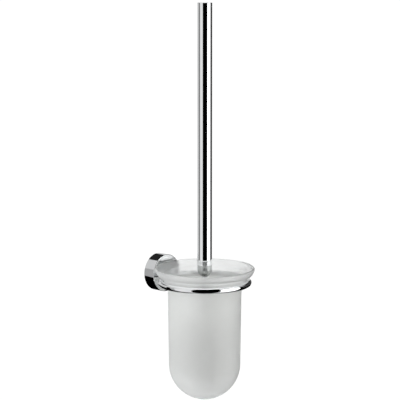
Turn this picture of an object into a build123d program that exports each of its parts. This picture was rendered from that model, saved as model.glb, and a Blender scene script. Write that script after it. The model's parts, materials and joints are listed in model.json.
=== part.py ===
from build123d import *
import os
from math import asin, degrees, sqrt

# Wall-hung toilet brush set: a chrome bracket with a round ring, a frosted glass bowl that
# drops into the ring, and a long-handled brush that stands in the bowl.
# Frame: the origin is the centre of the wall plate's back face, on the wall; +Z is up and
# -Y points into the room. The ring, the bowl and the brush share one upright axis.

# ---- driving dimensions, mm ----
AXIS_OUT = 79.0  # from the wall to the upright axis

PLATE_R = 18.0
PLATE_DEPTH = 7.0
PLATE_HOLE_R = 2.6
PLATE_HOLE_SPACING = 22.0
PLATE_SINK_R = 5.0  # countersink for the wall screws' heads
GROOVE_OUT = 4.5  # distance of the V-groove's middle from the wall
GROOVE_DEPTH = 2.0

ROSETTE_R = 22.75
ROSETTE_DEPTH = 16.0
ROSETTE_SIDE = 2.5
ROSETTE_FRONT = 3.0
ROSETTE_EDGE = 0.7

GRUB_R = 2.5
GRUB_INSET = 0.5  # how far the grub screw stays inside the rosette's side
GRUB_TIP_R = 0.5
GRUB_TIP_GAP = 0.1
GRUB_SOCKET = 2.5  # across flats
GRUB_SOCKET_DEPTH = 2.2

BAR_R = 3.5
RING_R = 52.5  # radius of the bar's centre line
ARM_R = 6.0
ARM_CLEAR_R = 57.0  # the arm's thick part stops here, measured from the upright axis
SPIGOT = 8.0  # side of the arm's square spigot
SPIGOT_DEPTH = 1.5

SCREW_R = 3.0
SCREW_HEAD_R = 5.25
SCREW_HEAD = 3.3
SCREW_REACH = 4.0  # thread inside the arm
SCREW_CLEAR = 0.2  # room round the screw in the rosette and the washer
SCREW_SOCKET = 4.0  # across flats
WASHER_R = 6.0
WASHER = 1.2

# Heights of the bowl and the brush are counted from the ring's plane.
BODY_TOP_R = 44.0
BODY_TOP_Z = -14.0
DOME_R = 43.0
DOME_Z = -100.0
BASE_FLAT_R = 11.0
WALL = 4.5
BASE_EXTRA = 1.0  # the inner dome sits this much higher than an even wall would put it
FLARE = (48.0, 0.0)
CREASE = (53.9, 7.0)
LIP_MID = (57.7, 10.6)
LIP = (59.7, 15.8)
RIM_TOP = (58.7, 17.5)
INNER_LIP = (57.0, 16.5)
INNER_LIP_MID = (54.9, 13.0)
INNER_CREASE = (50.7, 10.5)
INNER_FLARE = (44.9, 2.4)
FLARE_SLOPE = (1.0, 0.75)  # direction in which the outer flare meets the crease
INNER_FLARE_SLOPE = (1.0, 1.0)

HANDLE_R = 8.7
HANDLE_WALL = 1.0
HANDLE_TOP = 330.5
CAP = 4.2
CAP_EDGE = 0.4
CAP_SPIGOT = 12.0
END_DOME_Z = 15.0  # centre of the domed lower end
END_COLLAR = 5.8  # straight part of the end plug below the tube
END_SPIGOT = 14.0
SEAM = 0.06  # the fine gap at each joint of the handle
SLIP = 0.05  # radial play of the spigots inside the tube

STEM_R = 3.5
THREAD_R = 3.0
THREAD_UP = 12.0
THREAD_DOWN = 16.0
THREAD_PLAY = 0.05
TAP_ROOM = 1.0  # depth of a tapped hole past the end of its screw
OVERSHOOT = 1.0  # how far a cutting tool runs past the piece that it cuts

NECK_TOP = -36.0
NECK_R = 7.0
CORE_R = 13.0
CORE_TOP = -54.0
CORE_END = -108.0  # centre of the core's round end

HEAD_R = 37.5
HEAD_TOP = -50.0
HEAD_TOP_ROUND = 6.0
HEAD_BASE_GAP = 0.3  # bristle tips to the glass
CORE_GAP = 0.1

# ---- worked out from the above ----
RING_Z = BAR_R - ARM_R  # the ring's underside is level with the arm's underside
INNER_DOME_R = DOME_R - WALL
INNER_DOME_Z = DOME_Z + BASE_EXTRA
BASE_Z = DOME_Z - sqrt(DOME_R**2 - BASE_FLAT_R**2)
HEAD_Z = INNER_DOME_Z - INNER_DOME_R + HEAD_BASE_GAP + HEAD_R
TUBE_BORE_R = HANDLE_R - HANDLE_WALL
TUBE_TOP = HANDLE_TOP - CAP
TUBE_END = END_DOME_Z + END_COLLAR
STEM_TOP = END_DOME_Z - sqrt(HANDLE_R**2 - STEM_R**2)


def out_of_wall(piece):
    """Turns a piece drawn with +Z away from the wall into the frame."""
    return Rot(90, 0, 0) * piece


def on_axis(piece):
    """Moves a piece drawn about Z, with heights from the ring's plane, onto the upright axis."""
    return Pos(0, -AXIS_OUT, RING_Z) * piece


def rod(radius, low, high):
    return Pos(0, 0, (low + high) / 2) * Cylinder(radius, high - low)


def turned(edges):
    """Revolves a closed outline, drawn as radius and height, about Z."""
    return revolve(Plane.XZ * make_face(edges), Axis.Z)


def hex_socket(across_flats, low, high):
    return Pos(0, 0, low) * extrude(RegularPolygon(across_flats / 2, 6, major_radius=False), high - low)


# ---- wall bracket ----
def wall_plate():
    middle = GROOVE_OUT
    disc = turned(
        Polyline(
            (0, 0),
            (PLATE_R, 0),
            (PLATE_R, middle - GROOVE_DEPTH),
            (PLATE_R - GROOVE_DEPTH, middle),
            (PLATE_R, middle + GROOVE_DEPTH),
            (PLATE_R, PLATE_DEPTH),
            (0, PLATE_DEPTH),
            close=True,
        ).edges()
    )
    sink_depth = PLATE_SINK_R - PLATE_HOLE_R
    sink = Pos(0, 0, PLATE_DEPTH - sink_depth / 2) * Cone(PLATE_HOLE_R, PLATE_SINK_R, sink_depth)
    hole = rod(PLATE_HOLE_R, 0, PLATE_DEPTH) + sink
    for side in (-1, 1):
        disc -= Pos(side * PLATE_HOLE_SPACING / 2, 0, 0) * hole
    return out_of_wall(disc)


def rosette():
    cup = rod(ROSETTE_R, 0, ROSETTE_DEPTH)
    cup = fillet(cup.edges().group_by(Axis.Z)[-1], ROSETTE_EDGE)
    cup -= rod(ROSETTE_R - ROSETTE_SIDE, 0, ROSETTE_DEPTH - ROSETTE_FRONT)
    cup -= rod(SCREW_R + SCREW_CLEAR, 0, ROSETTE_DEPTH)
    cup -= Pos(0, 0, ROSETTE_DEPTH - SPIGOT_DEPTH / 2) * Box(SPIGOT, SPIGOT, SPIGOT_DEPTH)
    grub_hole = Rot(90, 0, 0) * rod(GRUB_R + THREAD_PLAY, 0, ROSETTE_R + OVERSHOOT)
    cup -= Pos(0, 0, GROOVE_OUT) * grub_hole
    return out_of_wall(cup)


def grub_screw():
    """Set screw with a cone point, drawn with its point at the low end."""
    tip = PLATE_R - GROOVE_DEPTH + GRUB_TIP_R + GRUB_TIP_GAP
    tail = ROSETTE_R - GRUB_INSET
    cone = GRUB_R - GRUB_TIP_R
    screw = rod(GRUB_R, tip + cone, tail)
    screw += Pos(0, 0, tip + cone / 2) * Cone(GRUB_TIP_R, GRUB_R, cone)
    screw -= hex_socket(GRUB_SOCKET, tail - GRUB_SOCKET_DEPTH, tail)
    return out_of_wall(Pos(0, 0, GROOVE_OUT) * Rot(90, 0, 0) * screw)


def holder_ring():
    return on_axis(Torus(RING_R, BAR_R))


def arm_stub():
    """A round arm with a square spigot, ending in a thinner neck that is brazed to the ring."""
    ring_out = AXIS_OUT - RING_R
    thick = rod(ARM_R, ROSETTE_DEPTH, ring_out)
    spigot_low = ROSETTE_DEPTH - SPIGOT_DEPTH
    thick += Pos(0, 0, spigot_low + SPIGOT_DEPTH / 2) * Box(SPIGOT, SPIGOT, SPIGOT_DEPTH)
    clearing = Pos(0, -AXIS_OUT, 0) * rod(ARM_CLEAR_R, -ARM_R - OVERSHOOT, ARM_R + OVERSHOOT)
    thick = out_of_wall(thick) - clearing
    neck = Pos(0, 0, RING_Z) * out_of_wall(rod(BAR_R, ROSETTE_DEPTH, ring_out))
    tapped = out_of_wall(rod(SCREW_R, spigot_low, ROSETTE_DEPTH + SCREW_REACH + TAP_ROOM))
    return thick + neck - holder_ring() - tapped


def arm_screw():
    under_head = ROSETTE_DEPTH - ROSETTE_FRONT - WASHER
    head_top = under_head - SCREW_HEAD
    shank = rod(SCREW_R - THREAD_PLAY, under_head, ROSETTE_DEPTH + SCREW_REACH)
    head = rod(SCREW_HEAD_R, head_top, under_head)
    head = fillet(head.edges().group_by(Axis.Z)[0], SCREW_HEAD / 2)
    socket = hex_socket(SCREW_SOCKET, head_top, head_top + SCREW_HEAD / 2)
    return out_of_wall(shank + head - socket)


def arm_washer():
    high = ROSETTE_DEPTH - ROSETTE_FRONT
    low = high - WASHER
    return out_of_wall(rod(WASHER_R, low, high) - rod(SCREW_R + SCREW_CLEAR, low, high))


# ---- bowl ----
def glass_bowl():
    """A straight-sided bowl with a round end and a flared, upturned lip."""
    base_angle = degrees(asin(BASE_FLAT_R / DOME_R)) - 90
    inner_top = (BODY_TOP_R - WALL, BODY_TOP_Z)
    upright = (BODY_TOP_R - DOME_R, BODY_TOP_Z - DOME_Z)
    outline = [
        Line((0, BASE_Z), (BASE_FLAT_R, BASE_Z)),
        CenterArc((0, DOME_Z), DOME_R, base_angle, -base_angle),
        Line((DOME_R, DOME_Z), (BODY_TOP_R, BODY_TOP_Z)),
        Spline((BODY_TOP_R, BODY_TOP_Z), FLARE, CREASE, tangents=[upright, FLARE_SLOPE]),
        ThreePointArc(CREASE, LIP_MID, LIP),
        ThreePointArc(LIP, RIM_TOP, INNER_LIP),
        ThreePointArc(INNER_LIP, INNER_LIP_MID, INNER_CREASE),
        Spline(inner_top, INNER_FLARE, INNER_CREASE, tangents=[upright, INNER_FLARE_SLOPE]),
        Line(inner_top, (INNER_DOME_R, INNER_DOME_Z)),
        CenterArc((0, INNER_DOME_Z), INNER_DOME_R, -90, 90),
        Line((0, INNER_DOME_Z - INNER_DOME_R), (0, BASE_Z)),
    ]
    return on_axis(turned(outline))


# ---- brush ----
def handle_tube():
    low = TUBE_END + SEAM
    high = TUBE_TOP - SEAM
    return on_axis(rod(HANDLE_R, low, high) - rod(TUBE_BORE_R, low, high))


def handle_top_cap():
    cap = rod(HANDLE_R, TUBE_TOP, HANDLE_TOP)
    cap = fillet(cap.edges().group_by(Axis.Z)[-1], CAP_EDGE)
    return on_axis(cap + rod(TUBE_BORE_R - SLIP, TUBE_TOP - CAP_SPIGOT, TUBE_TOP))


def handle_end_plug():
    plug = rod(HANDLE_R, END_DOME_Z, TUBE_END) + Pos(0, 0, END_DOME_Z) * Sphere(HANDLE_R)
    plug += rod(TUBE_BORE_R - SLIP, TUBE_END, TUBE_END + END_SPIGOT)
    plug -= rod(STEM_R, END_DOME_Z - HANDLE_R, STEM_TOP)
    plug -= rod(THREAD_R + THREAD_PLAY, STEM_TOP, STEM_TOP + THREAD_UP + TAP_ROOM)
    return on_axis(plug)


def brush_stem():
    stem = rod(STEM_R, NECK_TOP, STEM_TOP)
    stem += rod(THREAD_R, STEM_TOP, STEM_TOP + THREAD_UP)
    stem += rod(THREAD_R, NECK_TOP - THREAD_DOWN, NECK_TOP)
    return on_axis(stem)


def core_outline(grow):
    """The round-ended core below its neck, made larger all round by grow."""
    radius = CORE_R + grow
    end = CORE_END
    return turned(
        [
            Line((0, CORE_TOP), (radius, CORE_TOP)),
            Line((radius, CORE_TOP), (radius, end)),
            CenterArc((0, end), radius, -90, 90),
            Line((0, end - radius), (0, CORE_TOP)),
        ]
    )


def brush_core():
    neck_height = NECK_TOP - CORE_TOP
    core = core_outline(0) + Pos(0, 0, CORE_TOP + neck_height / 2) * Cone(CORE_R, NECK_R, neck_height)
    core -= rod(THREAD_R + THREAD_PLAY, NECK_TOP - THREAD_DOWN - TAP_ROOM, NECK_TOP)
    return on_axis(core)


def bristles():
    """The outer shape of all the tufts, as one closed body with room for the core."""
    round_r = HEAD_TOP_ROUND
    outline = [
        Line((0, HEAD_TOP), (HEAD_R - round_r, HEAD_TOP)),
        CenterArc((HEAD_R - round_r, HEAD_TOP - round_r), round_r, 0, 90),
        Line((HEAD_R, HEAD_TOP - round_r), (HEAD_R, HEAD_Z)),
        CenterArc((0, HEAD_Z), HEAD_R, -90, 90),
        Line((0, HEAD_Z - HEAD_R), (0, HEAD_TOP)),
    ]
    neck_room = rod(CORE_R + CORE_GAP, CORE_TOP, HEAD_TOP)
    return on_axis(turned(outline) - core_outline(CORE_GAP) - neck_room)


NODES = [
    wall_plate,
    rosette,
    grub_screw,
    arm_stub,
    arm_screw,
    arm_washer,
    holder_ring,
    glass_bowl,
    handle_tube,
    handle_top_cap,
    handle_end_plug,
    brush_stem,
    brush_core,
    bristles,
]

os.makedirs("parts", exist_ok=True)
for node in NODES:
    export_step(node(), f"parts/{node.__name__}.step")
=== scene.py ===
import json
import math

import bpy
import numpy as np
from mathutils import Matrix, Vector


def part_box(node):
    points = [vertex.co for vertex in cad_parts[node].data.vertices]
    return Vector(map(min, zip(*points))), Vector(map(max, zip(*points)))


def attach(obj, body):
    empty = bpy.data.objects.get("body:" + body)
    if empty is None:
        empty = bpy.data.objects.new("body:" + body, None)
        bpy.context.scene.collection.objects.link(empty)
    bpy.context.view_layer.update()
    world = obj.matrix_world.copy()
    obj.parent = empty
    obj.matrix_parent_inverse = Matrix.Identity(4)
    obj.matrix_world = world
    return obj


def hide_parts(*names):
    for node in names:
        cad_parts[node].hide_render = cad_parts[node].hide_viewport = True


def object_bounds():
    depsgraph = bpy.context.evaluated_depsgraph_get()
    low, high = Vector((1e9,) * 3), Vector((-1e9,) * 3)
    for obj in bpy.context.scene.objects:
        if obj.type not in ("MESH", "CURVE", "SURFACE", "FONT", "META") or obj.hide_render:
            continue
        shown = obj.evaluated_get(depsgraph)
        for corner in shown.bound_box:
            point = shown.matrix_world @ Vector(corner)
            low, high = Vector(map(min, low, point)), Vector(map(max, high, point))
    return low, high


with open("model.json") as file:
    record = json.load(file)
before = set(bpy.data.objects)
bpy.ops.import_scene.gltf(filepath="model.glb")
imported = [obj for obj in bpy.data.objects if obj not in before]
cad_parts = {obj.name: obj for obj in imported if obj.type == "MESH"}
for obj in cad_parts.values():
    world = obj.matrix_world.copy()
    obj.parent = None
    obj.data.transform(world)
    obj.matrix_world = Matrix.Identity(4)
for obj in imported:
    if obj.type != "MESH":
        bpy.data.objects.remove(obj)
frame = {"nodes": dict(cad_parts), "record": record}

cad_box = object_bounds()
nodes = frame["nodes"]

# ---- places taken from the frame, metres ----
ring_low, ring_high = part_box("holder_ring")
bowl_low, bowl_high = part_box("glass_bowl")
core_low, core_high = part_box("brush_core")
head_low, head_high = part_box("bristles")
handle_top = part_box("handle_top_cap")[1].z
RING = (ring_low + ring_high) / 2
AXIS_X, AXIS_Y = RING.x, RING.y

# ---- camera ----
CAMERA_AZIMUTH = -47.5
CAMERA_DISTANCE = 1.583  # from the bowl's axis, level
CAMERA_PITCH = 8.32
CAMERA_SIDESTEP = -0.0056
LENS = 121.5

# ---- glass ----
# the glass's tint runs between these two; the lighter one is painted light on the base and the lip
GLASS_BODY = (0.87, 0.88, 0.865)
GLASS_LIP = (0.98, 0.99, 0.985)
BASE_FADE = (0.006, 0.038)  # painted light makes the heavy base lighter up to here, and the body starts here
GLASS_ZONES = (
    (bowl_low.z, bowl_low.z + BASE_FADE[0]),  # base
    (bowl_low.z + BASE_FADE[1], ring_low.z),  # body
    (ring_high.z, bowl_high.z),  # lip
)
# painted light: the base and the lip are tinted lighter than the body, for light from below and light
# through the lip
GLASS_PAINTED_LIGHT = (0.65, 0.3, 0.7)
# share of light that each zone lets through instead of scattering it back
CLEAR_INSIDE = (0.54, 0.54, 0.95)
CLEAR_OUTSIDE = (0.54, 0.54, 0.75)
GLASS_ROUGH = (0.40, 0.40, 0.30)
LIP_MIDDLE_R = 0.046  # middle of the lip's wall at the ring's height
LIP_LEAN = 0.75  # how much that radius grows with height
LIP_SPLIT = 0.0008  # half the distance over which the inner face's value turns into the outer one's

# ---- stage ----
FLOOR_DROP = 0.40  # floor below the bowl
FLOOR_HALF = 20.0
PANEL_R = 1.4  # from the ring to the studio panels
PANEL_STEPS = (24, 16)  # mesh steps across and up a panel
PANEL_THROUGH_GLASS = 100  # a panel also shows through glass if its middle azimuth is below this
WORLD_STRENGTH = 1.06
KEY_SIZE = 1.2
KEY_DISTANCE = 1.5
KEY_AZIMUTH = -80
KEY_ELEVATION = -18
KEY_WATTS = 17.0
KEY_COLOUR = (0.96, 0.98, 1.0)


def facing(azimuth):
    """Level unit vectors towards the camera and to the picture's right, for a view azimuth."""
    a = math.radians(azimuth)
    return Vector((math.sin(a), -math.cos(a), 0)), Vector((math.cos(a), math.sin(a), 0))


# ---- node helpers ----
NOISE_RANGE = (0.3, 0.7)  # most of a noise texture's values lie between these


class Shader:
    """A new node material with a Principled shader, and short ways to add to it."""

    def __init__(self, name):
        self.material = bpy.data.materials.new(name)
        self.material.use_nodes = True
        self.tree = self.material.node_tree
        self.main = self.tree.nodes["Principled BSDF"]
        self.where = self.tree.nodes.new("ShaderNodeTexCoord").outputs["Object"]

    def node(self, kind, **values):
        """A new node; each value sets the property of that name or, where it has none, the input."""
        made = self.tree.nodes.new(kind)
        for key, value in values.items():
            if hasattr(made, key):
                setattr(made, key, value)
            else:
                made.inputs[key.replace("_", " ")].default_value = value
        return made

    def link(self, output, target):
        self.tree.links.new(output, target)

    def set(self, **values):
        for key, value in values.items():
            self.main.inputs[key.replace("_", " ")].default_value = value

    def noise(self, scale, detail=3.0, stretch=(1, 1, 1)):
        squeeze = self.node("ShaderNodeMapping", Scale=stretch)
        self.link(self.where, squeeze.inputs["Vector"])
        noise = self.node("ShaderNodeTexNoise", Scale=scale, Detail=detail)
        self.link(squeeze.outputs["Vector"], noise.inputs["Vector"])
        return noise.outputs["Fac"]

    def spread(self, fac, low, high, from_low=NOISE_RANGE[0], from_high=NOISE_RANGE[1]):
        """Maps a value, by default a noise, onto a range."""
        span = self.node("ShaderNodeMapRange")
        span.inputs["From Min"].default_value = from_low
        span.inputs["From Max"].default_value = from_high
        span.inputs["To Min"].default_value = low
        span.inputs["To Max"].default_value = high
        self.link(fac, span.inputs["Value"])
        return span.outputs["Result"]

    def outside(self, radius, lean):
        """1 outside a cone about the bowl's axis and 0 inside it; radius is at the ring's height."""
        flat = self.node("ShaderNodeMapping")
        flat.inputs["Location"].default_value = (-AXIS_X, -AXIS_Y, 0)
        flat.inputs["Scale"].default_value = (1, 1, 0)
        self.link(self.where, flat.inputs["Vector"])
        out = self.node("ShaderNodeVectorMath", operation="LENGTH")
        self.link(flat.outputs["Vector"], out.inputs[0])
        split = self.node("ShaderNodeSeparateXYZ")
        self.link(self.where, split.inputs["Vector"])
        cone = self.node("ShaderNodeMath", operation="MULTIPLY_ADD")
        self.link(split.outputs["Z"], cone.inputs[0])
        cone.inputs[1].default_value = lean
        cone.inputs[2].default_value = radius - lean * RING.z
        beyond = self.node("ShaderNodeMath", operation="SUBTRACT")
        self.link(out.outputs["Value"], beyond.inputs[0])
        self.link(cone.outputs["Value"], beyond.inputs[1])
        return self.spread(beyond.outputs["Value"], 0, 1, -LIP_SPLIT, LIP_SPLIT)

    def mixed(self, fac, first, second):
        """A value that goes from one output to another one as fac goes from 0 to 1."""
        mix = self.node("ShaderNodeMix", data_type="FLOAT")
        self.link(fac, mix.inputs["Factor"])
        self.link(first, mix.inputs["A"])
        self.link(second, mix.inputs["B"])
        return mix.outputs["Result"]

    def by_height(self, zones, values):
        """A value for each height zone, changing softly from one zone to the next."""
        split = self.node("ShaderNodeSeparateXYZ")
        self.link(self.where, split.inputs["Vector"])
        low, high = zones[0][0], zones[-1][1]
        ramp = self.node("ShaderNodeValToRGB")
        stops = [(z, value) for zone, value in zip(zones, values) for z in zone]
        while len(ramp.color_ramp.elements) < len(stops):
            ramp.color_ramp.elements.new(1.0)
        for element, (z, value) in zip(ramp.color_ramp.elements, stops):
            element.position = (z - low) / (high - low)
            element.color = (value, value, value, 1)
        self.link(self.spread(split.outputs["Z"], 0, 1, low, high), ramp.inputs["Fac"])
        return ramp.outputs["Color"]

    def tint(self, fac, dark, light):
        """Colours a noise value between two colours."""
        ramp = self.node("ShaderNodeValToRGB")
        ramp.color_ramp.elements[0].position = NOISE_RANGE[0]
        ramp.color_ramp.elements[0].color = (*dark, 1)
        ramp.color_ramp.elements[1].position = NOISE_RANGE[1]
        ramp.color_ramp.elements[1].color = (*light, 1)
        self.link(fac, ramp.inputs["Fac"])
        self.link(ramp.outputs["Color"], self.main.inputs["Base Color"])

    def bump(self, height, strength, distance):
        bump = self.node("ShaderNodeBump", Strength=strength, Distance=distance)
        self.link(height, bump.inputs["Height"])
        self.link(bump.outputs["Normal"], self.main.inputs["Normal"])


def chrome():
    s = Shader("chrome")
    s.set(Metallic=1.0)
    s.tint(s.noise(90), (0.80, 0.81, 0.82), (0.84, 0.85, 0.855))
    s.link(s.spread(s.noise(70, 4), 0.02, 0.045), s.main.inputs["Roughness"])
    return s.material


def satin_steel():
    s = Shader("satin_steel")
    s.set(Metallic=1.0)
    s.tint(s.noise(240), (0.50, 0.515, 0.51), (0.56, 0.57, 0.565))
    s.link(s.spread(s.noise(700, 4), 0.04, 0.08), s.main.inputs["Roughness"])
    return s.material


def frosted_glass():
    """Etched glass: milky below the ring, and clearer in the lip, most of all on its inner face. Its
    base and lip are tinted lighter than the body as painted light.
    """
    s = Shader("frosted_glass")
    s.set(IOR=1.5)
    # painted light: the base and the lip tinted lighter by height, plus random tone from noise
    zone = s.node("ShaderNodeMath", operation="ADD", use_clamp=True)
    s.link(s.by_height(GLASS_ZONES, GLASS_PAINTED_LIGHT), zone.inputs[0])
    s.link(s.spread(s.noise(35), -0.1, 0.1), zone.inputs[1])
    s.tint(zone.outputs["Value"], GLASS_BODY, GLASS_LIP)
    inside = s.by_height(GLASS_ZONES, CLEAR_INSIDE)
    outside = s.by_height(GLASS_ZONES, CLEAR_OUTSIDE)
    clear = s.mixed(s.outside(LIP_MIDDLE_R, LIP_LEAN), inside, outside)
    s.link(clear, s.main.inputs["Transmission Weight"])
    etch = s.node("ShaderNodeMath", operation="MULTIPLY")
    s.link(s.by_height(GLASS_ZONES, GLASS_ROUGH), etch.inputs[0])
    s.link(s.spread(s.noise(900, 4), 0.92, 1.08), etch.inputs[1])
    s.link(etch.outputs["Value"], s.main.inputs["Roughness"])
    s.bump(s.noise(2600, 2), 0.02, 0.0001)
    return s.material


def nylon():
    s = Shader("bristle_nylon")
    s.set(Roughness=0.42, IOR=1.53)
    s.tint(s.noise(300), (0.86, 0.88, 0.87), (0.93, 0.94, 0.93))
    return s.material


def white_plastic():
    s = Shader("white_plastic")
    s.set(IOR=1.49)
    s.tint(s.noise(60), (0.84, 0.84, 0.82), (0.88, 0.88, 0.865))
    s.link(s.spread(s.noise(500), 0.34, 0.46), s.main.inputs["Roughness"])
    s.bump(s.noise(1800, 2), 0.15, 0.0001)
    return s.material


def turned_steel():
    s = Shader("stem_steel")
    s.set(Metallic=1.0)
    rings = s.noise(2200, 2, stretch=(0.02, 0.02, 1))
    s.tint(rings, (0.60, 0.605, 0.61), (0.68, 0.685, 0.69))
    s.link(s.spread(rings, 0.16, 0.26), s.main.inputs["Roughness"])
    s.bump(rings, 0.06, 0.00002)
    return s.material


def screw_steel():
    s = Shader("steel")
    s.set(Metallic=1.0)
    s.tint(s.noise(700), (0.42, 0.425, 0.43), (0.55, 0.555, 0.56))
    s.link(s.spread(s.noise(1500), 0.25, 0.42), s.main.inputs["Roughness"])
    return s.material


def cast_zinc():
    s = Shader("zinc_plate")
    s.set(Metallic=1.0)
    s.tint(s.noise(220, 6), (0.46, 0.465, 0.47), (0.60, 0.605, 0.61))
    s.link(s.spread(s.noise(800, 4), 0.38, 0.58), s.main.inputs["Roughness"])
    s.bump(s.noise(1200, 4), 0.35, 0.0002)
    return s.material


# ---- bristles ----
TUFT_ROWS = 10
TUFTS_A_ROW = 14
END_ROWS = ((24, 13), (42, 11), (61, 7), (90, 1))  # angle below level, number of tufts
FILAMENTS = 34
FILAMENT_R = 0.00021
TUFT_HOLE_R = 0.0017
TUFT_SINK = 0.0010  # filaments start this far inside the core
TRIM = 0.0007  # how unevenly the tips are cut
SPREAD = 0.16  # how far a tuft fans out, as a share of its length
JOINTS = 5  # points along a filament
WAVE = 0.0006  # largest sideways sway of a filament
WAVE_SHARE = (0.2, 0.9)  # how much of it a filament takes
WAVE_TURN = 5.0  # how far the sway's wave runs along a filament, radians
HEAD_INSET = 0.0002  # tips stay this far inside the CAD head
TOP_ROW_DROP = 0.008  # roots of the top row below the head's top
ROW_TILTS = (9, -12)  # lean of the top and the bottom row, degrees above level
SKEW = (0.3, 0.2, 1.0)  # a direction that no tuft has
TINY = 1e-6


class Tufts:
    """White nylon filaments in tufts, set round the core and over its round end, as one mesh."""

    def __init__(self, seed):
        self.rng = np.random.default_rng(seed)
        self.points, self.faces = [], []
        self.core_r = (core_high.x - core_low.x) / 2
        self.head_r = (head_high.x - head_low.x) / 2 - HEAD_INSET
        self.ball_z = head_low.z + HEAD_INSET + self.head_r
        self.core_end = core_low.z + self.core_r

    def reach(self, root, way):
        """Distance from root along way to the trimmed outline, which is round-ended and flat on top."""
        level = math.hypot(way[0], way[1])
        best = math.inf
        if level > TINY:
            b = root[0] * way[0] + root[1] * way[1]
            c = root[0] ** 2 + root[1] ** 2 - self.head_r**2
            best = (-b + math.sqrt(b * b - level**2 * c)) / level**2
        if way[2] > TINY:
            best = min(best, (head_high.z - root[2]) / way[2])
        if root[2] + best * way[2] < self.ball_z:
            local = root - np.array((0, 0, self.ball_z))
            b = local @ way
            c = local @ local - self.head_r**2
            best = -b + math.sqrt(b * b - c)
        return best

    def filament(self, root, way):
        way = way / np.linalg.norm(way)
        length = self.reach(root, way) - self.rng.uniform(0, TRIM)
        side = np.cross(way, self.rng.normal(size=3))
        side /= np.linalg.norm(side)
        other = np.cross(way, side)
        wave = self.rng.uniform(*WAVE_SHARE) * WAVE
        phase = self.rng.uniform(0, 2 * math.pi)
        first = len(self.points)
        for j in range(JOINTS):
            t = j / (JOINTS - 1)
            sway = wave * math.sin(phase + WAVE_TURN * t) * math.sin(math.pi * t)
            middle = root + way * (length * t) + side * sway
            for corner in range(3):
                a = 2 * math.pi * corner / 3
                edge = (side * math.cos(a) + other * math.sin(a)) * FILAMENT_R
                self.points.append(middle + edge)
        for j in range(JOINTS - 1):
            for corner in range(3):
                here = first + 3 * j + corner
                beside = first + 3 * j + (corner + 1) % 3
                self.faces.append((here, beside, beside + 3, here + 3))
        tip = first + 3 * (JOINTS - 1)
        self.faces.append((first + 2, first + 1, first))
        self.faces.append((tip, tip + 1, tip + 2))

    def tuft(self, root, way):
        """One tuft: filaments packed in a hole at root, fanning out about way."""
        way = way / np.linalg.norm(way)
        u = np.cross(way, SKEW)
        u /= np.linalg.norm(u)
        v = np.cross(way, u)
        for _ in range(FILAMENTS):
            r = math.sqrt(self.rng.uniform())
            a = self.rng.uniform(0, 2 * math.pi)
            out = u * (r * math.cos(a)) + v * (r * math.sin(a))
            self.filament(root + out * TUFT_HOLE_R, way + out * SPREAD)

    def side_rows(self):
        heights = np.linspace(head_high.z - TOP_ROW_DROP, self.core_end, TUFT_ROWS)
        tilts = np.linspace(*ROW_TILTS, TUFT_ROWS)
        for row, (height, tilt) in enumerate(zip(heights, tilts)):
            for k in range(TUFTS_A_ROW):
                a = 2 * math.pi * (k + 0.5 * (row % 2)) / TUFTS_A_ROW
                e = math.radians(tilt)
                out = np.array((math.cos(a), math.sin(a), 0.0))
                root = out * (self.core_r - TUFT_SINK) + np.array((0, 0, height))
                self.tuft(root, out * math.cos(e) + np.array((0, 0, math.sin(e))))

    def end_rows(self):
        """Rows of tufts over the core's round end."""
        for angle, count in END_ROWS:
            e = math.radians(angle)
            for k in range(count):
                a = 2 * math.pi * (k + angle / 90) / count
                way = np.array((math.cos(a) * math.cos(e), math.sin(a) * math.cos(e), -math.sin(e)))
                root = way * (self.core_r - TUFT_SINK) + np.array((0, 0, self.core_end))
                self.tuft(root, way)

    def build(self, name):
        mesh = bpy.data.meshes.new(name)
        places = np.array(self.points) + np.array((AXIS_X, AXIS_Y, 0))
        mesh.from_pydata(places.tolist(), [], self.faces)
        mesh.polygons.foreach_set("use_smooth", [True] * len(mesh.polygons))
        mesh.update()
        piece = bpy.data.objects.new(name, mesh)
        bpy.context.scene.collection.objects.link(piece)
        return piece


def make_bristles(finish):
    tufts = Tufts(seed=7)
    tufts.side_rows()
    tufts.end_rows()
    piece = tufts.build("nylon_tufts")
    piece.data.materials.append(finish)
    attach(piece, "brush")
    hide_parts("bristles")


# ---- finishes ----
def dress():
    """Gives every CAD node the finish of its record slot."""
    finishes = {
        "chrome": chrome(),
        "satin_steel": satin_steel(),
        "frosted_glass": frosted_glass(),
        "white_plastic": white_plastic(),
        "bristle_nylon": nylon(),
        "stem_steel": turned_steel(),
        "steel": screw_steel(),
        "zinc_plate": cast_zinc(),
    }
    for part in frame["record"]["subparts"]:
        nodes[part["node"]].material_slots[0].material = finishes[part["material_slot"]]
    return finishes


# ---- stage: floor, studio panels, world, light, camera ----
def make_floor():
    """A pale painted floor, open to the light and the eye from below."""
    half, height = FLOOR_HALF, cad_box[0].z - FLOOR_DROP
    mesh = bpy.data.meshes.new("floor")
    corners = [(x, y, height) for x, y in ((-half, -half), (half, -half), (half, half), (-half, half))]
    mesh.from_pydata(corners, [], [(0, 1, 2, 3)])
    floor = bpy.data.objects.new("floor", mesh)
    bpy.context.scene.collection.objects.link(floor)
    s = Shader("floor_paint")
    s.set(Roughness=0.9, Specular_IOR_Level=0.0)
    s.tint(s.noise(3), (0.965, 0.965, 0.965), (0.985, 0.985, 0.985))
    one_sided = s.node("ShaderNodeMixShader")
    s.link(s.node("ShaderNodeNewGeometry").outputs["Backfacing"], one_sided.inputs[0])
    s.link(s.main.outputs["BSDF"], one_sided.inputs[1])
    s.link(s.node("ShaderNodeBsdfTransparent").outputs["BSDF"], one_sided.inputs[2])
    s.link(one_sided.outputs["Shader"], s.tree.nodes["Material Output"].inputs["Surface"])
    floor.data.materials.append(s.material)
    floor.visible_glossy = False


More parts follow.
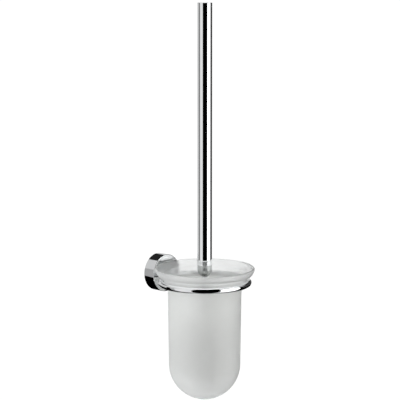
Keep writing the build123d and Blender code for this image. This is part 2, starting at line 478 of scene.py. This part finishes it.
# Studio panels round the object, as seen from it: (name, azimuths from the camera, positive to the
# picture's right, elevations, brightness). Polished metal sees black between them.
PANELS = [
    ("left_front", (-78, -32), (-45, 75), 0.88),
    ("left_low", (-89, -32), (-75, -45), 0.40),
    ("left_edge", (-91, -78), (-45, 14), 0.42),
    ("right_front", (40, 95), (-45, 45), 1.8),
    ("right_low", (40, 95), (-75, -45), 0.55),
    ("dark_card", (-32, 40), (-35, 35), 0.0),
    ("left_upper", (-124, -78), (14, 60), 0.68),
    ("left_back", (-180, -105), (-13, 20), 0.68),
    ("right_back", (104, 164), (-13, 20), 0.06),
    ("back", (166, 180), (-13, 20), 0.70),
    ("right_back_upper", (104, 124), (20, 60), 0.5),
    ("back_card", (124, 236), (22, 55), 0.02),
    ("overhead", (-180, 180), (76, 90), 3.0),
    ("below", (-180, 180), (-90, -75), 0.22),
]


def direction(azimuth, elevation):
    """Unit vector at an azimuth from the camera and an elevation, in degrees."""
    back, right = facing(CAMERA_AZIMUTH)
    a, e = math.radians(azimuth), math.radians(elevation)
    return (back * math.cos(a) + right * math.sin(a)) * math.cos(e) + Vector((0, 0, math.sin(e)))


def make_panel(name, azimuths, elevations, brightness):
    """A curved glowing panel on a ball round the object, seen only in reflections and through glass."""
    across, up = PANEL_STEPS
    mesh = bpy.data.meshes.new(name)
    points, faces = [], []
    for i in range(across + 1):
        for j in range(up + 1):
            azimuth = azimuths[0] + (azimuths[1] - azimuths[0]) * i / across
            elevation = elevations[0] + (elevations[1] - elevations[0]) * j / up
            points.append(RING + direction(azimuth, elevation) * PANEL_R)
    for i in range(across):
        for j in range(up):
            corner = i * (up + 1) + j
            faces.append((corner, corner + 1, corner + up + 2, corner + up + 1))
    mesh.from_pydata(points, [], faces)
    panel = bpy.data.objects.new(name, mesh)
    bpy.context.scene.collection.objects.link(panel)
    material = bpy.data.materials.new(name)
    material.use_nodes = True
    material.cycles.emission_sampling = "NONE"
    tree = material.node_tree
    tree.nodes.clear()
    glow = tree.nodes.new("ShaderNodeEmission")
    glow.inputs["Strength"].default_value = brightness
    out = tree.nodes.new("ShaderNodeOutputMaterial")
    tree.links.new(glow.outputs["Emission"], out.inputs["Surface"])
    mesh.materials.append(material)
    panel.visible_camera = False
    panel.visible_diffuse = False
    middle = abs(azimuths[0] + azimuths[1]) / 2
    panel.visible_transmission = middle < PANEL_THROUGH_GLASS
    panel.visible_shadow = False


def make_world():
    world = bpy.data.worlds.new("soft_white")
    bpy.context.scene.world = world
    world.use_nodes = True
    background = world.node_tree.nodes["Background"]
    background.inputs["Color"].default_value = (1, 1, 1, 1)
    background.inputs["Strength"].default_value = WORLD_STRENGTH
    world.cycles_visibility.glossy = False
    bpy.context.scene.view_settings.view_transform = "Standard"


def make_key_light():
    """A large soft light from the left that leaves no mark in the chrome."""
    key = bpy.data.objects.new("key_light", bpy.data.lights.new("key_light", "AREA"))
    bpy.context.scene.collection.objects.link(key)
    key.data.shape = "DISK"
    key.data.size = KEY_SIZE
    key.data.energy = KEY_WATTS
    key.data.color = KEY_COLOUR
    toward = direction(KEY_AZIMUTH, KEY_ELEVATION)
    key.location = RING + toward * KEY_DISTANCE
    key.rotation_euler = toward.to_track_quat("Z", "Y").to_euler()
    key.visible_camera = False
    key.visible_glossy = False
    key.visible_transmission = False


def make_camera():
    back, right = facing(CAMERA_AZIMUTH)
    camera = bpy.data.objects.new("camera", bpy.data.cameras.new("camera"))
    bpy.context.scene.collection.objects.link(camera)
    above_axis = Vector((AXIS_X, AXIS_Y, handle_top))
    camera.location = above_axis + back * CAMERA_DISTANCE + right * CAMERA_SIDESTEP
    camera.rotation_euler = (math.radians(90 - CAMERA_PITCH), 0, math.radians(CAMERA_AZIMUTH))
    camera.data.lens = LENS
    camera.data.clip_end = 100
    bpy.context.scene.camera = camera


finishes = dress()
make_bristles(finishes["bristle_nylon"])
make_camera()
make_world()
make_floor()
make_key_light()
for panel in PANELS:
    make_panel(*panel)
